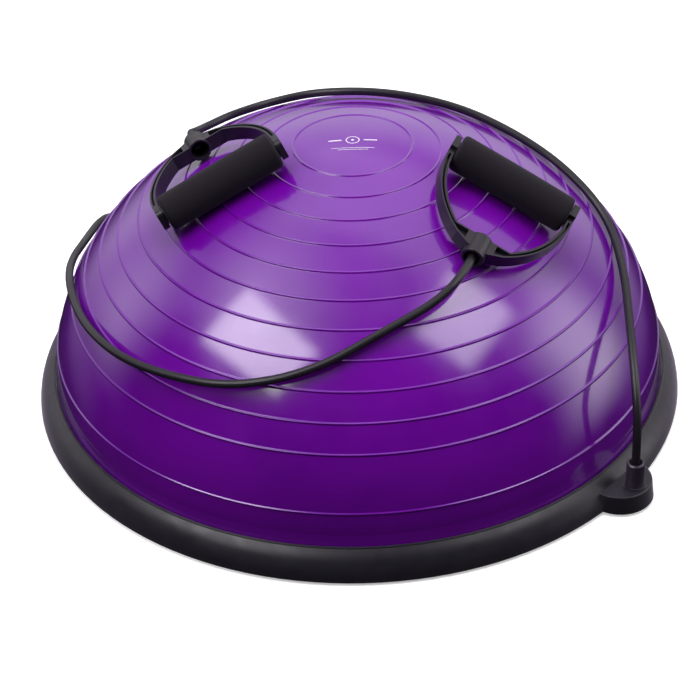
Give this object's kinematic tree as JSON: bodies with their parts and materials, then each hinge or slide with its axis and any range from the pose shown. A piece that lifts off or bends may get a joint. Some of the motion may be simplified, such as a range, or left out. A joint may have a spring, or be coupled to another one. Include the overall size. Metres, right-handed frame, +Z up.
{
  "type": "balance dome trainer",
  "caption": "Half-dome balance trainer: an air-filled ribbed dome on a flat round base, with elastic bands anchored at the rim and stirrup handles with foam grips.",
  "frame": {"origin": "middle of the base on the floor, under the dome's apex", "axes": "+Z up through the apex, +X through the lug that anchors band a"},
  "size_m": [0.6326, 0.5838, 0.2772],
  "materials": {
    "dome_purple": "glossy deep purple air-tight PVC with raised grip ribs",
    "base_black": "satin black moulded plastic",
    "handle_black": "fine-grained black moulded plastic",
    "fitting_black": "smooth black moulded plastic",
    "grip_foam": "matte black closed-cell foam",
    "band_rubber": "black elastic tube, satin",
    "valve_rubber": "soft purple moulded valve",
    "foot_rubber": "matte anti-slip rubber",
    "steel": "zinc-plated screws"
  },
  "bodies": {
    "base": {"base_platform": "base_black", "rim_ring": "base_black", "dome_shell": "dome_purple", "base_screws": "steel", "valve_seat": "valve_rubber", "foot_1": "foot_rubber", "foot_2": "foot_rubber", "foot_3": "foot_rubber", "foot_4": "foot_rubber", "foot_5": "foot_rubber", "foot_6": "foot_rubber", "band_a_cord": "band_rubber", "band_a_anchor_plug": "fitting_black", "band_a_end_plug": "fitting_black", "band_b_cord": "band_rubber", "band_b_anchor_plug": "fitting_black", "band_b_end_plug": "fitting_black"},
    "valve_plug": {"valve_plug": "valve_rubber"},
    "bush_a": {"band_a_bush": "fitting_black"},
    "handle_a": {"band_a_bow": "handle_black"},
    "grip_a": {"band_a_grip_core": "handle_black", "band_a_grip_foam": "grip_foam"},
    "bush_b": {"band_b_bush": "fitting_black"},
    "handle_b": {"band_b_bow": "handle_black"},
    "grip_b": {"band_b_grip_core": "handle_black", "band_b_grip_foam": "grip_foam"}
  },
  "joints": [
    {"name": "valve_pull", "type": "slide", "parent": "base", "child": "valve_plug", "axis": [-0.6038, 0.7196, 0.3428], "range_m": [0, 0.03]},
    {"name": "bush_spin_a", "type": "hinge", "parent": "base", "child": "bush_a", "pos_m": [0.3016, 0, 0.03], "axis": [0, 0, 1], "continuous": true},
    {"name": "handle_lift_a", "type": "hinge", "parent": "base", "child": "handle_a", "pos_m": [-0.12765, -0.06069, 0.22979], "axis": [-0.4721, -0.7935, -0.384], "range_deg": [0, 24]},
    {"name": "grip_spin_a", "type": "hinge", "parent": "handle_a", "child": "grip_a", "pos_m": [-0.05435, -0.11045, 0.2425], "axis": [0.4721, 0.7935, 0.384], "continuous": true},
    {"name": "bush_spin_b", "type": "hinge", "parent": "base", "child": "bush_b", "pos_m": [-0.3016, 0, 0.03], "axis": [0, 0, 1], "continuous": true},
    {"name": "handle_lift_b", "type": "hinge", "parent": "base", "child": "handle_b", "pos_m": [0.15907, -0.03797, 0.21758], "axis": [0.836, 0.3227, -0.4438], "range_deg": [0, 24]},
    {"name": "grip_spin_b", "type": "hinge", "parent": "handle_b", "child": "grip_b", "pos_m": [0.13487, 0.0467, 0.23356], "axis": [-0.836, -0.3227, 0.4438], "continuous": true}
  ]
}
